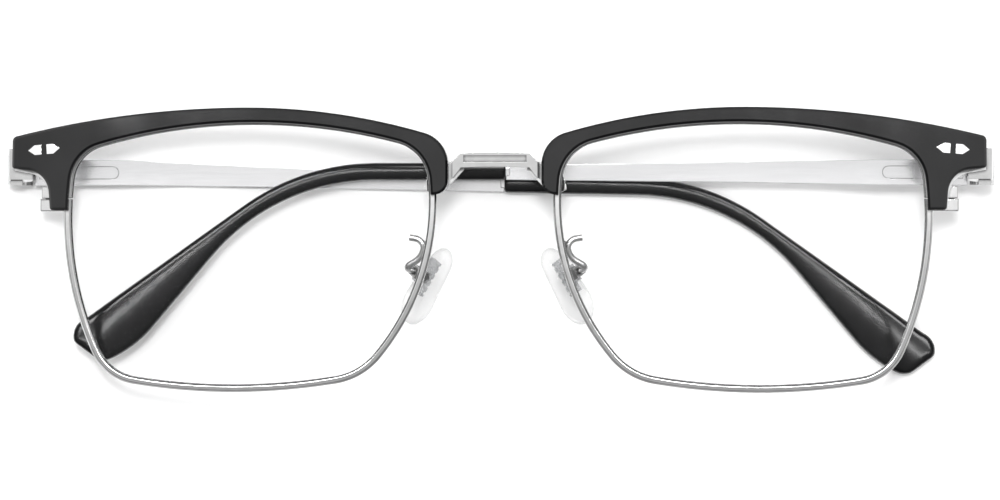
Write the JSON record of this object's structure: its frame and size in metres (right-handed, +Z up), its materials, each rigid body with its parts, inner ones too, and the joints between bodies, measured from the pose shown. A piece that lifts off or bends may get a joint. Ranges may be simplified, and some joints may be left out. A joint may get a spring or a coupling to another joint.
{
  "type": "browline glasses",
  "caption": "Browline eyeglasses lying folded: glossy brow trims over thin metal eyewires, clear lenses, pivoting nose pads and sprung metal temples with black tips.",
  "frame": {"origin": "centre of the bounding box's bottom face, on the table that the folded glasses lie on", "axes": "+X across the front toward the wearer's left, +Y toward the brow, +Z up from the table out of the front"},
  "size_m": [0.1464, 0.0416, 0.0197],
  "materials": {
    "black_gloss": "gloss",
    "silver_metal": "polished",
    "satin_metal": "satin",
    "spring_steel": "satin",
    "lens": "clear polished",
    "silicone": "clear satin",
    "pad_insert": "clear gloss"
  },
  "bodies": {
    "front": {"bridge": "silver_metal", "brow_inlays_left": "silver_metal", "brow_inlays_right": "silver_metal", "brow_left": "black_gloss", "brow_right": "black_gloss", "brow_screws_left": "silver_metal", "brow_screws_right": "silver_metal", "endpiece_left": "silver_metal", "endpiece_right": "silver_metal", "eyewire_left": "silver_metal", "eyewire_right": "silver_metal", "hinge_screw_left": "silver_metal", "hinge_screw_right": "silver_metal", "lens_left": "lens", "lens_right": "lens", "pad_arm_left": "silver_metal", "pad_arm_right": "silver_metal", "pad_screw_left": "silver_metal", "pad_screw_right": "silver_metal", "rim_lock_lower_left": "silver_metal", "rim_lock_lower_right": "silver_metal", "rim_lock_screw_left": "silver_metal", "rim_lock_screw_right": "silver_metal", "rim_lock_upper_left": "silver_metal", "rim_lock_upper_right": "silver_metal"},
    "hinge_eye_left": {"hinge_eye_left": "silver_metal"},
    "temple_left": {"temple_bar_left": "satin_metal", "spring_cover_left": "satin_metal", "temple_tip_left": "black_gloss", "hinge_spring_left": "spring_steel"},
    "nose_pad_left": {"nose_pad_left": "silicone", "pad_core_left": "pad_insert"},
    "hinge_eye_right": {"hinge_eye_right": "silver_metal"},
    "temple_right": {"temple_bar_right": "satin_metal", "spring_cover_right": "satin_metal", "temple_tip_right": "black_gloss", "hinge_spring_right": "spring_steel"},
    "nose_pad_right": {"nose_pad_right": "silicone", "pad_core_right": "pad_insert"}
  },
  "joints": [
    {"name": "temple_right_fold", "type": "hinge", "parent": "front", "child": "hinge_eye_right", "pos_m": [-0.07078, 0.01151, 0.0024], "axis": [0, 1, 0], "range_deg": [0, 89.3]},
    {"name": "temple_right_spring", "type": "slide", "parent": "hinge_eye_right", "child": "temple_right", "axis": [1, 0, 0], "range_m": [0, 0.0012], "stiffness_N_per_m": 500, "springref_m": -0.002, "deforming": ["hinge_spring_right"]},
    {"name": "temple_left_fold", "type": "hinge", "parent": "front", "child": "hinge_eye_left", "pos_m": [0.07077, 0.01151, 0.00611], "axis": [0, -1, 0], "range_deg": [0, 92.5]},
    {"name": "temple_left_spring", "type": "slide", "parent": "hinge_eye_left", "child": "temple_left", "axis": [-1, 0, 0.0035], "range_m": [0, 0.0012], "stiffness_N_per_m": 500, "springref_m": -0.002, "deforming": ["hinge_spring_left"]},
    {"name": "nose_pad_left_pivot", "type": "hinge", "parent": "front", "child": "nose_pad_left", "pos_m": [0.01136, -0.00317, 0.01103], "axis": [0.4846, 0.3676, -0.7938], "range_deg": [-10, 10]},
    {"name": "nose_pad_right_pivot", "type": "hinge", "parent": "front", "child": "nose_pad_right", "pos_m": [-0.01068, -0.00401, 0.0123], "axis": [0.4424, -0.3676, 0.8181], "range_deg": [-10, 10]}
  ]
}
